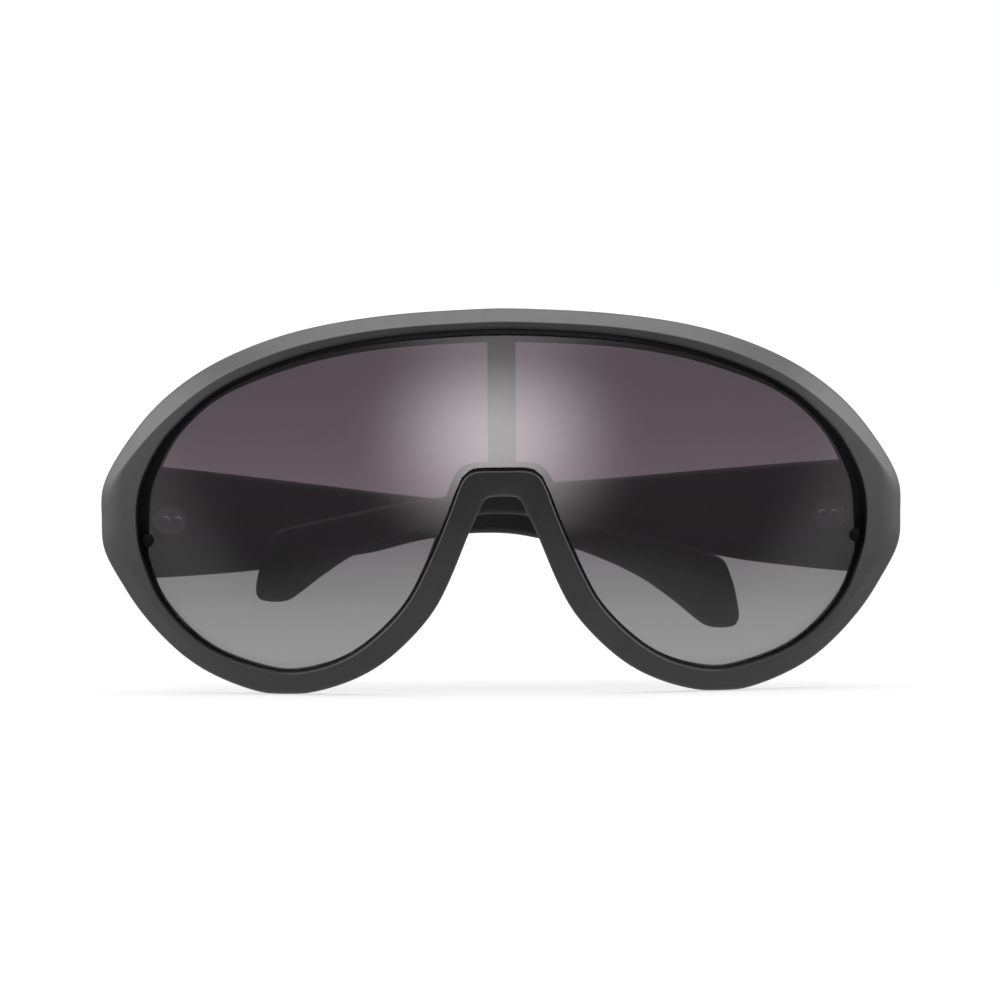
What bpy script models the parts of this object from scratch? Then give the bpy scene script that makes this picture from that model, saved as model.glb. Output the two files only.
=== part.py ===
"""Mask sunglasses, folded: one moulded front, one shield lens and two temples on screwed hinges."""

import math

import bmesh
import bpy
import numpy as np
from mathutils import Matrix, Vector

# Front: one closed moulded ring around a single lens, in metres
half_width = 0.075
front_height = 0.072
datum_y = -0.0263
wrap_radius = 0.132
upright_radius = 0.180
upright_centre = 0.038
face_tilt = math.radians(8)
bevel_drop = 0.0026
widest_gap = 0.0024
widest_lip = 0.0029
lug_depth = 0.0148
rim_depth = 0.0056
back_inset = 0.0012
back_share = 0.84
lip_front = 0.0039
lip_back = 0.0060
lip_step = 0.0003
post_width = 0.0052
sink = 0.00005
overrun = 0.025

# Lens
lens_front = 0.0016
lens_thickness = 0.0020
lens_end_share = 0.9995

# Lens pins
pin_height_share = 0.4
pin_radius = 0.0013
pin_gap = 0.0003
pin_front = 0.0012
pin_back = 0.00375
pin_shank_radius = 0.00055
pin_shank_back = 0.0054
pin_hole_radius = 0.00062

# Hinges
hinge_inset = 0.0076
hinge_depth = 0.0150
hinge_rise = 0.0034
left_lean = math.radians(-3.1)
left_fold = math.radians(86.5)
right_fold = math.radians(91)
joint_gap = 0.00015
face_offset = 0.0020
knuckle_radius = 0.0016
middle_knuckle = 0.00085
outer_knuckle_low = 0.0010
outer_knuckle_high = 0.0026
hinge_pin_radius = 0.0006
hinge_bore_radius = 0.0007
hinge_pin_low = 0.0029
hinge_head_low = 0.0027
hinge_head_high = 0.0032
hinge_head_radius = 0.00115
slot_width = 0.0003
slot_depth = 0.0002
leaf_inner = 0.0014
leaf_outer = 0.0023
leaf_half_height = 0.0025
leaf_start = 0.0019
strap_inner = 0.0006
strap_outer = 0.0015
front_leaf_length = 0.0074
temple_leaf_length = 0.0080
leaf_corner = 0.0008
leaf_end_share = 0.9
recess_gap = 0.0003
leaf_hole_radius = 0.00055
leaf_screw_radius = 0.00045
leaf_screw_hole_radius = 0.0005
leaf_screw_head_radius = 0.0009
leaf_screw_head = 0.0004
leaf_screw_head_gap = 0.00005
leaf_screw_end = 0.0042
leaf_hole_end = 0.0044
front_screw_back = 0.0050
front_screw_spread = 0.0013
temple_screw_near = 0.0040
temple_screw_far = 0.0063
lug_pocket_reach = 0.0078
lug_pocket_half_height = 0.0085

# Temples
folded_tip_gap = 0.0210
root_height = 0.0213
root_thickness = 0.0042
temple_corner = 0.0011

# Counts and how the rim's rows are smoothed
rim_pull_share = 0.125
steps_between_rows = 3
lens_columns = 54
lens_rows = 6
temple_steps = 3
round_sides = 20
corner_sides = 3
post_steps = 8

# Right half of the front from the top middle round to the nose: shares of the
# half width and height for the outer and the inner edge, the crease between
# them, then shares of the bevel drop, widest gap, widest lip and lug depth
rim_shares = (
    (0.0000, 0.9980, 0.0000, 0.9460, 0.75, 1.000, 0.521, 0.845, 0.419),
    (0.0982, 0.9941, 0.0965, 0.9426, 0.75, 1.000, 0.521, 0.845, 0.419),
    (0.1966, 0.9891, 0.1919, 0.9371, 0.74, 1.000, 0.521, 0.845, 0.419),
    (0.2951, 0.9800, 0.2874, 0.9268, 0.72, 1.000, 0.500, 0.845, 0.419),
    (0.3940, 0.9658, 0.3806, 0.9109, 0.70, 1.000, 0.458, 0.828, 0.419),
    (0.4933, 0.9450, 0.4795, 0.8868, 0.71, 1.000, 0.417, 0.724, 0.419),
    (0.5932, 0.9139, 0.5696, 0.8557, 0.76, 1.000, 0.375, 0.638, 0.419),
    (0.6938, 0.8696, 0.6617, 0.8155, 0.80, 1.000, 0.354, 0.552, 0.426),
    (0.7764, 0.8191, 0.7357, 0.7682, 0.76, 1.000, 0.354, 0.500, 0.432),
    (0.8467, 0.7610, 0.7940, 0.7132, 0.70, 0.962, 0.417, 0.517, 0.446),
    (0.8983, 0.7045, 0.8391, 0.6644, 0.60, 0.885, 0.604, 0.672, 0.570),
    (0.9476, 0.6360, 0.8772, 0.5980, 0.40, 0.731, 0.792, 0.828, 0.800),
    (0.9855, 0.5709, 0.8982, 0.5449, 0.22, 0.538, 0.896, 0.914, 0.960),
    (1.0030, 0.5170, 0.9069, 0.5016, 0.12, 0.423, 0.979, 0.983, 1.000),
    (1.0020, 0.4585, 0.9101, 0.4569, 0.10, 0.385, 1.000, 1.000, 1.000),
    (1.0030, 0.3960, 0.9073, 0.4067, 0.14, 0.423, 0.875, 0.931, 0.986),
    (0.9850, 0.3430, 0.9010, 0.3621, 0.30, 0.538, 0.667, 0.759, 0.820),
    (0.9490, 0.2812, 0.8886, 0.3148, 0.50, 0.654, 0.604, 0.672, 0.642),
    (0.9022, 0.2058, 0.8601, 0.2412, 0.64, 0.654, 0.583, 0.655, 0.500),
    (0.8019, 0.0977, 0.7687, 0.1411, 0.74, 0.577, 0.500, 0.586, 0.419),
    (0.7003, 0.0371, 0.6773, 0.0900, 0.80, 0.462, 0.333, 0.448, 0.392),
    (0.5990, 0.0020, 0.5860, 0.0640, 0.80, 0.346, 0.208, 0.345, 0.378),
    (0.5425, -0.0035, 0.5378, 0.0573, 0.80, 0.308, 0.188, 0.328, 0.378),
    (0.4860, 0.0025, 0.4883, 0.0611, 0.80, 0.308, 0.188, 0.328, 0.378),
    (0.3976, 0.0282, 0.4108, 0.0842, 0.80, 0.269, 0.167, 0.345, 0.378),
    (0.2974, 0.0813, 0.3308, 0.1344, 0.82, 0.231, 0.167, 0.483, 0.405),
    (0.1977, 0.1819, 0.2458, 0.2230, 0.84, 0.231, 0.146, 0.655, 0.514),
    (0.1480, 0.2605, 0.2034, 0.2975, 0.86, 0.231, 0.146, 0.690, 0.622),
    (0.1068, 0.3592, 0.1650, 0.3826, 0.86, 0.231, 0.146, 0.690, 0.676),
    (0.0832, 0.4214, 0.1407, 0.4433, 0.86, 0.231, 0.146, 0.690, 0.662),
    (0.0610, 0.4690, 0.1180, 0.5037, 0.86, 0.231, 0.146, 0.690, 0.581),
    (0.0445, 0.5065, 0.0930, 0.5690, 0.86, 0.231, 0.146, 0.621, 0.486),
    (0.0290, 0.5150, 0.0520, 0.5818, 0.86, 0.231, 0.146, 0.552, 0.426),
    (0.0000, 0.5165, 0.0000, 0.5812, 0.86, 0.231, 0.146, 0.552, 0.419),
)

# Temple from the hinge to the tip: shares of its length, of the root's height
# above and below the hinge, and of the root's thickness for middle and thickness
temple_shares = (
    (0.0013, 0.488, -0.514, 0.976, 0.980),
    (0.0260, 0.481, -0.510, 0.976, 1.000),
    (0.1050, 0.455, -0.465, 0.976, 1.000),
    (0.1970, 0.419, -0.399, 0.976, 0.952),
    (0.2930, 0.380, -0.293, 0.964, 0.905),
    (0.3780, 0.343, -0.207, 0.958, 0.869),
    (0.4570, 0.314, -0.082, 0.952, 0.833),
    (0.5180, 0.295, -0.016, 0.940, 0.798),
    (0.5620, 0.272, 0.014, 0.929, 0.786),
    (0.6150, 0.230, 0.019, 0.905, 0.774),
    (0.6680, 0.192, -0.019, 0.881, 0.762),
    (0.7100, 0.160, -0.073, 0.845, 0.762),
    (0.7430, 0.138, -0.124, 0.810, 0.762),
    (0.7900, 0.097, -0.214, 0.765, 0.774),
    (0.8260, 0.058, -0.300, 0.714, 0.786),
    (0.8550, 0.026, -0.387, 0.667, 0.786),
    (0.8920, -0.012, -0.521, 0.607, 0.786),
    (0.9200, -0.045, -0.634, 0.560, 0.786),
    (0.9420, -0.070, -0.715, 0.524, 0.762),
    (0.9580, -0.094, -0.738, 0.495, 0.745),
    (0.9730, -0.146, -0.738, 0.466, 0.710),
    (0.9825, -0.249, -0.733, 0.447, 0.680),
    (0.9900, -0.357, -0.724, 0.429, 0.640),
    (0.9955, -0.469, -0.706, 0.408, 0.580),
    (1.0000, -0.580, -0.665, 0.393, 0.476),
)


def material(name, colour, roughness, metallic=0.0, alpha=1.0):
    made = bpy.data.materials.new(name)
    made.use_nodes = True
    shader = made.node_tree.nodes["Principled BSDF"]
    shader.inputs["Base Color"].default_value = (*colour, 1.0)
    shader.inputs["Roughness"].default_value = roughness
    shader.inputs["Metallic"].default_value = metallic
    shader.inputs["Alpha"].default_value = alpha
    made.diffuse_color = (*colour, alpha)
    return made


def loft(sections, closed=False):
    """Points and faces of the skin over equal rings of points, capped unless it closes on itself."""
    sections = np.asarray(sections, float)
    count, size = sections.shape[:2]
    faces = []
    for i in range(count if closed else count - 1):
        here, there = i * size, (i + 1) % count * size
        for k in range(size):
            after = (k + 1) % size
            faces.append((here + k, here + after, there + after, there + k))
    if not closed:
        faces.append(tuple(reversed(range(size))))
        faces.append(tuple(range((count - 1) * size, count * size)))
    return sections.reshape(-1, 3), faces


def circle(radius, centre=(0.0, 0.0), sides=round_sides):
    turns = np.arange(sides) * 2 * math.pi / sides
    return np.stack([centre[0] + radius * np.cos(turns), centre[1] + radius * np.sin(turns)], 1)


def rounded_rectangle(low, high, radius, sides=corner_sides):
    """The outline of a rectangle from its low to its high corner with round corners."""
    points = []
    corners = ((high[0], high[1], 0), (low[0], high[1], 1), (low[0], low[1], 2), (high[0], low[1], 3))
    for x, y, quarter in corners:
        centre_x = x - math.copysign(radius, x - low[0] - radius)
        centre_y = y - math.copysign(radius, y - low[1] - radius)
        for k in range(sides + 1):
            turn = (quarter + k / sides) * math.pi / 2
            points.append((centre_x + radius * math.cos(turn), centre_y + radius * math.sin(turn)))
    return np.array(points)


def rectangle(low, high):
    return np.array(((high[0], high[1]), (low[0], high[1]), (low[0], low[1]), (high[0], low[1])))


def prism(outline, start, end, axis):
    """An outline pulled straight from start to end along one axis, in the order of the other two."""
    rings = []
    for level in (start, end):
        rings.append(np.insert(outline, axis, level, axis=1))
    return loft(rings)


def base_depth(x, z):
    """How far behind the datum the front's face lies: its wrap, its tilt and its upright curve."""
    wrap = wrap_radius - np.sqrt(wrap_radius**2 - x**2)
    upright = (z - upright_centre) ** 2 / (2 * upright_radius)
    return datum_y + wrap + (front_height - z) * math.tan(face_tilt) + upright


def on_front(x, z, depth):
    return np.stack([x, base_depth(x, z) + depth, z], -1)


def rim_stations():
    """The rim's rows as a smooth closed loop of cubic B-spline stations."""
    right = np.array(rim_shares)
    left = right[-2:0:-1] * np.array((-1, 1, -1, 1, 1, 1, 1, 1, 1))
    rows = np.concatenate([right, left])
    rows = rows - (np.roll(rows, 1, 0) - 2 * rows + np.roll(rows, -1, 0)) * rim_pull_share
    before, after, later = np.roll(rows, 1, 0), np.roll(rows, -1, 0), np.roll(rows, -2, 0)
    stations = []
    for k in range(steps_between_rows):
        t = k / steps_between_rows
        stations.append(
            ((1 - t) ** 3 * before + (3 * t**3 - 6 * t**2 + 4) * rows
             + (3 * t * (1 + t - t**2) + 1) * after + t**3 * later) / 6
        )
    return np.stack(stations, 1).reshape(-1, rows.shape[1])


def smooth(rows, steps):
    """Open rows of numbers with Catmull-Rom steps between them."""
    rows = np.asarray(rows, float)
    ends = np.concatenate([[2 * rows[0] - rows[1]], rows, [2 * rows[-1] - rows[-2]]])
    out = []
    for i in range(len(rows) - 1):
        a, b, c, d = ends[i:i + 4]
        for k in range(steps):
            t = k / steps
            out.append(b + 0.5 * t * (c - a + t * (2 * a - 5 * b + 4 * c - d + t * (3 * (b - c) + d - a))))
    out.append(rows[-1])
    return np.array(out)


def turned(points, side, folded):
    """Hinge-side points, outwards, backwards and up from the right hinge, as they stand in the world."""
    lean = left_lean if side < 0 else 0.0
    fold = left_fold if side < 0 else right_fold
    matrix = Matrix.Identity(4)
    if folded:
        matrix = Matrix.Rotation(fold, 4, Vector((math.sin(lean), 0, math.cos(lean))))
    matrix = Matrix.Diagonal((side, 1, 1, 1)) @ matrix
    moved = np.asarray(points) @ np.array(matrix.to_3x3()).T
    return moved + np.array((side * hinge_x, hinge_y, hinge_z))


def leaned(points, side):
    """Points round the upright hinge axis, leaned with that axis."""
    lean = left_lean if side < 0 else 0.0
    return np.asarray(points) @ np.array(Matrix.Rotation(lean, 3, "Y")).T


def build(name, shape, look, origin=(0.0, 0.0, 0.0), mirrored=False, smooth_faces=True):
    points, faces = shape
    if mirrored:
        faces = [tuple(reversed(face)) for face in faces]
    mesh = bpy.data.meshes.new(name)
    mesh.from_pydata((np.asarray(points) - np.array(origin)).tolist(), [], faces)
    mesh.materials.append(look)
    flat = bmesh.new()
    flat.from_mesh(mesh)
    bmesh.ops.triangulate(flat, faces=flat.faces)
    flat.to_mesh(mesh)
    flat.free()
    mesh.polygons.foreach_set("use_smooth", [smooth_faces] * len(mesh.polygons))
    obj = bpy.data.objects.new(name, mesh)
    obj.location = origin
    bpy.context.scene.collection.objects.link(obj)
    return obj


def helper(name, shape, origin=(0.0, 0.0, 0.0), mirrored=False):
    """A shape that only cuts or joins another."""
    obj = build(name, shape, helper_look, origin, mirrored)
    obj.hide_render = True
    obj.display_type = "WIRE"
    return obj


def combine(target, tool, operation):
    modifier = target.modifiers.new(operation.lower() + "_" + tool.name, "BOOLEAN")
    modifier.operation = operation
    modifier.solver = "EXACT"
    modifier.object = tool


# Start from an empty scene
for leftover in list(bpy.data.objects):
    bpy.data.objects.remove(leftover, do_unlink=True)

frame_look = material("frame_nylon", (0.035, 0.036, 0.036), 0.55)
lens_look = material("lens_tint", (0.16, 0.14, 0.15), 0.08, alpha=0.6)
temple_look = material("temple_nylon", (0.032, 0.033, 0.033), 0.6)
leaf_look = material("hinge_steel", (0.55, 0.55, 0.56), 0.35, metallic=1.0)
screw_look = material("screw_steel", (0.62, 0.62, 0.63), 0.3, metallic=1.0)
pin_look = material("pin_nylon", (0.02, 0.02, 0.02), 0.5)
helper_look = material("helper", (0.5, 0.5, 0.5), 0.5)

# The hinges, lens pins and temples follow the front's size and face
pin_z = front_height * pin_height_share
hinge_x = half_width - hinge_inset
hinge_z = pin_z + hinge_rise
hinge_y = base_depth(hinge_x, hinge_z) + hinge_depth
temple_length = 2 * hinge_x - folded_tip_gap

# Front frame: nine edge lines run round the ring
stations = rim_stations()
outer = stations[:, 0:2] * np.array((half_width, front_height))
outer[:, 1] = np.maximum(outer[:, 1], 0)
inner = stations[:, 2:4] * np.array((half_width, front_height))
inward = (inner - outer) / np.linalg.norm(inner - outer, axis=1)[:, None]
crease = outer + stations[:, 4:5] * (inner - outer)
bevel = stations[:, 5] * bevel_drop
lens_edge = inner + inward * (stations[:, 6:7] * widest_gap)
lip_edge = inner + inward * (stations[:, 7:8] * widest_lip)
depth = stations[:, 8] * lug_depth
extra = np.clip((depth - rim_depth - lip_step * 2) / (lug_depth - rim_depth), 0, 1)[:, None]
outer_back = outer + inward * extra * back_inset
inner_back = outer + (inner - outer) * back_share
step = np.minimum(lip_back, depth - lip_step)
none = np.zeros(len(stations))
lines = (
    (crease, none),
    (outer, bevel),
    (outer_back, depth),
    (inner_back, depth),
    (inner_back, step),
    (lip_edge, step),
    (lip_edge, none + lip_front),
    (inner, none + lip_front),
    (inner, none),
)
ring = np.stack([on_front(edge[:, 0], edge[:, 1], back) for edge, back in lines], 1)
front_frame = build("front_frame", loft(ring, closed=True), frame_look, mirrored=True, smooth_faces=False)

# Centre post behind the lens, from the top lip to the nose bridge
crown = len(stations) // 2
post_low = (outer[crown, 1] + inner[crown, 1]) / 2
post_high = (inner[0, 1] + lip_edge[0, 1]) / 2
post_rings = []
for level in np.linspace(post_low, post_high, post_steps):
    corners = []
    for across, back in ((-1, 0), (1, 0), (1, 1), (-1, 1)):
        reach = lip_front + sink if back == 0 else lip_back - sink
        corners.append(on_front(across * post_width / 2, level, reach))
    post_rings.append(corners)
combine(front_frame, helper("centre_post", loft(post_rings)), "UNION")

# Lens: upright columns between its upper and lower edge
right_edge = lens_edge[: len(lens_edge) // 2 + 1]
widest = int(np.argmax(right_edge[:, 0]))
upper, lower = right_edge[: widest + 1], right_edge[widest:][::-1]
reach = right_edge[widest, 0] * lens_end_share
columns = reach * np.sin(np.linspace(-math.pi / 2, math.pi / 2, 2 * lens_columns + 1))
lens_rings = []
for across in columns:
    low = np.interp(abs(across), lower[:, 0], lower[:, 1])
    high = np.interp(abs(across), upper[:, 0], upper[:, 1])
    levels = np.linspace(low, high, lens_rows)
    back = on_front(np.full(lens_rows, across), levels, lens_front + lens_thickness)
    front = on_front(np.full(lens_rows, across), levels[::-1], lens_front)
    lens_rings.append(np.concatenate([back, front]))
shield_lens = build("shield_lens", loft(lens_rings), lens_look)

# The lens pins stand just inside the front's inner edge
inner_side = inner[: int(np.argmin(inner[:, 1])) + 1][::-1]
pin_x = np.interp(pin_z, inner_side[:, 1], inner_side[:, 0]) - pin_radius - pin_gap

# Both sides
leaf_screw_places = (("upper", front_screw_spread), ("lower", -front_screw_spread))
temple_screw_places = (("near", temple_screw_near), ("far", temple_screw_far))
for side, label in ((-1, "left"), (1, "right")):
    flipped = side < 0
    origin = (side * hinge_x, hinge_y, hinge_z)
    axis_empty = bpy.data.objects.new(label + "_hinge_axis", None)
    lean = left_lean if flipped else 0.0
    axis_empty.matrix_world = Matrix.Translation(origin) @ Matrix.Rotation(side * lean, 4, "Y")
    bpy.context.scene.collection.objects.link(axis_empty)

    def fixed(shape):
        """A hinge-side shape of the front, in the world."""
        return turned(shape[0], side, False), shape[1]

    def folded(shape):
        """A hinge-side shape of the temple, folded, in the world."""
        return turned(shape[0], side, True), shape[1]

    def round_axis(radius, low, high, sides=round_sides):
        points, faces = prism(circle(radius, sides=sides), low, high, 2)
        return leaned(points, side), faces

    # Lens pin: a head in the lens's notch and a shank in the lip
    def through_front(radius, start, end):
        """A round bar at the pin, which follows the front's own slope."""
        points, faces = prism(circle(radius, (side * pin_x, pin_z)), start, end, 1)
        return on_front(points[:, 0], points[:, 2], points[:, 1]), faces

    pin_head = through_front(pin_radius, pin_front, pin_back)
    pin = build(f"lens_pin_{label}", pin_head, pin_look, mirrored=True)
    shank = through_front(pin_shank_radius, lens_front, pin_shank_back)
    combine(pin, helper(f"pin_shank_{label}", shank, mirrored=True), "UNION")
    hole = through_front(pin_hole_radius, lens_front, lug_depth)
    combine(front_frame, helper(f"pin_hole_{label}", hole, mirrored=True), "DIFFERENCE")
    notch = through_front(pin_radius + pin_gap, -overrun, overrun)
    combine(shield_lens, helper(f"lens_notch_{label}", notch, mirrored=True), "DIFFERENCE")

    # Room in the end piece: the leaf's seat, its inner face and its flat joint face
    seat_outline = rounded_rectangle(
        (-front_leaf_length - recess_gap, -leaf_half_height - recess_gap),
        (leaf_half_height, leaf_half_height + recess_gap),
        leaf_corner + recess_gap,
    )
    seat = prism(seat_outline, strap_inner, leaf_outer + recess_gap, 0)
    combine(front_frame, helper(f"front_leaf_seat_{label}", fixed(seat), mirrored=flipped), "DIFFERENCE")
    pocket_outline = rectangle((-overrun, -lug_pocket_reach), (face_offset, overrun))
    pocket = prism(pocket_outline, -lug_pocket_half_height, lug_pocket_half_height, 2)
    combine(front_frame, helper(f"lug_pocket_{label}", fixed(pocket), mirrored=flipped), "DIFFERENCE")
    behind = prism(rectangle((-overrun, -joint_gap), (overrun, overrun)), -overrun, overrun, 2)
    combine(front_frame, helper(f"joint_cut_{label}", fixed(behind), mirrored=flipped), "DIFFERENCE")

    # Front leaf: a plate with two knuckles
    plate_outline = rounded_rectangle(
        (-front_leaf_length, -leaf_half_height), (-leaf_start, leaf_half_height), leaf_corner
    )
    plate = fixed(prism(plate_outline, leaf_inner, leaf_outer, 0))
    front_leaf = build(f"front_leaf_{label}", plate, leaf_look, origin, flipped)
    for place, low, high in (
        ("upper", outer_knuckle_low, outer_knuckle_high),
        ("lower", -outer_knuckle_high, -outer_knuckle_low),
    ):
        knuckle = fixed(round_axis(knuckle_radius, low, high))
        combine(front_leaf, helper(f"{place}_knuckle_{label}", knuckle, origin, flipped), "UNION")
        level = sorted((low, high), key=abs)
        inset = math.copysign(sink, level[0])
        strap_outline = rounded_rectangle(
            (strap_inner, -leaf_start - leaf_corner), (strap_outer, 0.0), sink
        )
        strap = prism(strap_outline, *sorted((level[0] + inset, level[1] - 4 * inset)), 2)
        combine(front_leaf, helper(f"{place}_strap_{label}", fixed(strap), origin, flipped), "UNION")
    bore = fixed(round_axis(hinge_bore_radius, -overrun, overrun))
    bore_tool = helper(f"front_bore_{label}", bore, origin, flipped)
    combine(front_leaf, bore_tool, "DIFFERENCE")

    # Temple: rounded sections along its curved outline
    sections = []
    for along, top, low, middle, thickness in smooth(temple_shares, temple_steps):
        half = thickness * root_thickness / 2
        centre_line = middle * root_thickness
        lowest, highest = low * root_height, top * root_height
        corner = min(temple_corner, half * 2 / 3, (highest - lowest) / 3)
        ring_outline = rounded_rectangle((centre_line - half, lowest), (centre_line + half, highest), corner)
        sections.append(np.insert(ring_outline, 1, along * temple_length, axis=1))
    temple = build(f"temple_{label}", folded(loft(sections)), temple_look, origin, not flipped)
    temple_seat = prism(
        rounded_rectangle(
            (-leaf_half_height, -leaf_half_height - recess_gap),
            (temple_leaf_length + recess_gap, leaf_half_height + recess_gap),
            leaf_half_height,
        ),
        0.0,
        leaf_outer + recess_gap,
        0,
    )
    combine(temple, helper(f"temple_leaf_seat_{label}", folded(temple_seat), origin, flipped), "DIFFERENCE")

    # Temple leaf: a round-ended plate with the middle knuckle
    stadium = rounded_rectangle(
        (leaf_start, -leaf_half_height),
        (temple_leaf_length, leaf_half_height),
        leaf_half_height * leaf_end_share,
    )
    temple_leaf = build(
        f"temple_leaf_{label}", folded(prism(stadium, leaf_inner, leaf_outer, 0)), leaf_look, origin, flipped
    )
    knuckle = folded(round_axis(knuckle_radius, -middle_knuckle, middle_knuckle))
    combine(temple_leaf, helper(f"middle_knuckle_{label}", knuckle, origin, flipped), "UNION")
    strap_outline = rounded_rectangle((strap_inner, 0.0), (strap_outer, leaf_start + leaf_corner), sink)
    strap = prism(strap_outline, -middle_knuckle + sink, middle_knuckle - sink, 2)
    combine(temple_leaf, helper(f"middle_strap_{label}", folded(strap), origin, flipped), "UNION")
    bore = folded(round_axis(hinge_bore_radius, -overrun, overrun))
    combine(temple_leaf, helper(f"temple_bore_{label}", bore, origin, flipped), "DIFFERENCE")

    # Hinge screw through all three knuckles
    screw = build(
        f"hinge_screw_{label}",
        fixed(round_axis(hinge_pin_radius, -hinge_pin_low, hinge_head_low + sink)),
        screw_look,
        origin,
        flipped,
    )
    head = fixed(round_axis(hinge_head_radius, hinge_head_low, hinge_head_high))
    combine(screw, helper(f"hinge_screw_head_{label}", head, origin, flipped), "UNION")
    slot_outline = rounded_rectangle(
        (-knuckle_radius, -slot_width / 2), (knuckle_radius, slot_width / 2), sink
    )
    slot = prism(slot_outline, hinge_head_high - slot_depth, hinge_head_high + slot_depth, 2)
    slot = fixed((leaned(slot[0], side), slot[1]))
    combine(screw, helper(f"hinge_screw_slot_{label}", slot, origin, flipped), "DIFFERENCE")

    # Leaf screws: two into the end piece and two into the temple
    jobs = []
    for place, height in leaf_screw_places:
        jobs.append((f"front_leaf_screw_{place}", (-front_screw_back, height)))
    for place, along in temple_screw_places:
        jobs.append((f"temple_leaf_screw_{place}", (along, 0.0)))
    for name, at in jobs:
        in_front = name.startswith("front")
        stand = fixed if in_front else folded
        leaf = front_leaf if in_front else temple_leaf
        plastic = front_frame if in_front else temple
        under_head = leaf_inner - leaf_screw_head_gap
        head = prism(circle(leaf_screw_head_radius, at), under_head - leaf_screw_head, under_head, 0)
        screw = build(f"{name}_{label}", stand(head), screw_look, origin, flipped)
        shank = prism(circle(leaf_screw_radius, at), leaf_inner - leaf_screw_head / 2, leaf_screw_end, 0)
        combine(screw, helper(f"{name}_shank_{label}", stand(shank), origin, flipped), "UNION")
        through = prism(circle(leaf_hole_radius, at), 0.0, leaf_screw_end, 0)
        combine(leaf, helper(f"{name}_leaf_hole_{label}", stand(through), origin, flipped), "DIFFERENCE")
        blind = prism(circle(leaf_screw_hole_radius, at), leaf_inner, leaf_hole_end, 0)
        combine(plastic, helper(f"{name}_hole_{label}", stand(blind), origin, flipped), "DIFFERENCE")
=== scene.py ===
"""Mask sunglasses, folded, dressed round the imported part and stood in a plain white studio."""

import math

import bmesh
import bpy
import numpy as np
from mathutils import Matrix, Vector


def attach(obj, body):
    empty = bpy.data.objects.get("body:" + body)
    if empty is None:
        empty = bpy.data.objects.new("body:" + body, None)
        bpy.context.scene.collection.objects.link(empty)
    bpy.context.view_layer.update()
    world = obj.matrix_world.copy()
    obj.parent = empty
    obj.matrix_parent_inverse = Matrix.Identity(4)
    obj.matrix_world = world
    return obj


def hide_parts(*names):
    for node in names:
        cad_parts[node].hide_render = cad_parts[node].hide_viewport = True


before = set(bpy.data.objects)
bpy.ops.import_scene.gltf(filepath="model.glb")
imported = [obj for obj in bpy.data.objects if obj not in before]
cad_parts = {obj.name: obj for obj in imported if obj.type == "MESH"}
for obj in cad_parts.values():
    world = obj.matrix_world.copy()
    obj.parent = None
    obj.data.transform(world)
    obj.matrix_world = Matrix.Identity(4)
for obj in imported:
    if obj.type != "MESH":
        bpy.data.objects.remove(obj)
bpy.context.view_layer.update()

# Camera
# A long lens looks at the middle of the front from two degrees above it. The glasses stand
# a hair turned and tipped in the photograph, so the camera stands aside and rolls by that.
aim = Vector((-0.00025, 0.0017, 0.03577))
camera_distance = 1.2
camera_above = math.radians(2.0)
camera_aside = math.radians(-0.6)
camera_roll = math.radians(-0.45)
focal_length = 230.4
sensor_width = 36.0
nearest_seen = 0.05

backwards = Vector(
    (
        math.sin(camera_aside) * math.cos(camera_above),
        -math.cos(camera_aside) * math.cos(camera_above),
        math.sin(camera_above),
    )
)
rightwards = Vector((math.cos(camera_aside), math.sin(camera_aside), 0.0))
level_axes = Matrix((rightwards, backwards.cross(rightwards), backwards)).transposed()
camera_turn = (level_axes @ Matrix.Rotation(camera_roll, 3, "Z")).to_quaternion()
camera_data = bpy.data.cameras.new("camera")
camera_data.lens = focal_length
camera_data.sensor_width = sensor_width
camera_data.clip_start = nearest_seen
camera = bpy.data.objects.new("camera", camera_data)
camera.matrix_world = Matrix.LocRotScale(aim + backwards * camera_distance, camera_turn, None)
bpy.context.scene.collection.objects.link(camera)
bpy.context.scene.camera = camera
bpy.context.scene.view_settings.view_transform = "Standard"


# Studio
# A wide matt white floor keeps the glasses' soft shadow near them, under a white sky. Glosses
# mirror a dimmer floor and sky in front, where the photographer stands. One broad lamp hangs
# overhead, and one stands at each side.
class Link:
    """An output of a node, which takes part in sums by adding Math nodes."""

    def __init__(self, finish, socket):
        self.finish = finish
        self.socket = socket

    def reckon(self, operation, one, other):
        """Adds a Math node that works on two links or numbers."""
        return self.finish.node("Math", {"operation": operation}, {0: one, 1: other})

    def __add__(self, other):
        return self.reckon("ADD", self, other)

    def __sub__(self, other):
        return self.reckon("SUBTRACT", self, other)

    def __rsub__(self, other):
        return self.reckon("SUBTRACT", other, self)

    def __mul__(self, other):
        return self.reckon("MULTIPLY", self, other)

    def __truediv__(self, other):
        return self.reckon("DIVIDE", self, other)

    def __pow__(self, other):
        return self.reckon("POWER", self, other)

    def __or__(self, other):
        """The larger of the two."""
        return self.reckon("MAXIMUM", self, other)

    __radd__ = __add__


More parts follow.
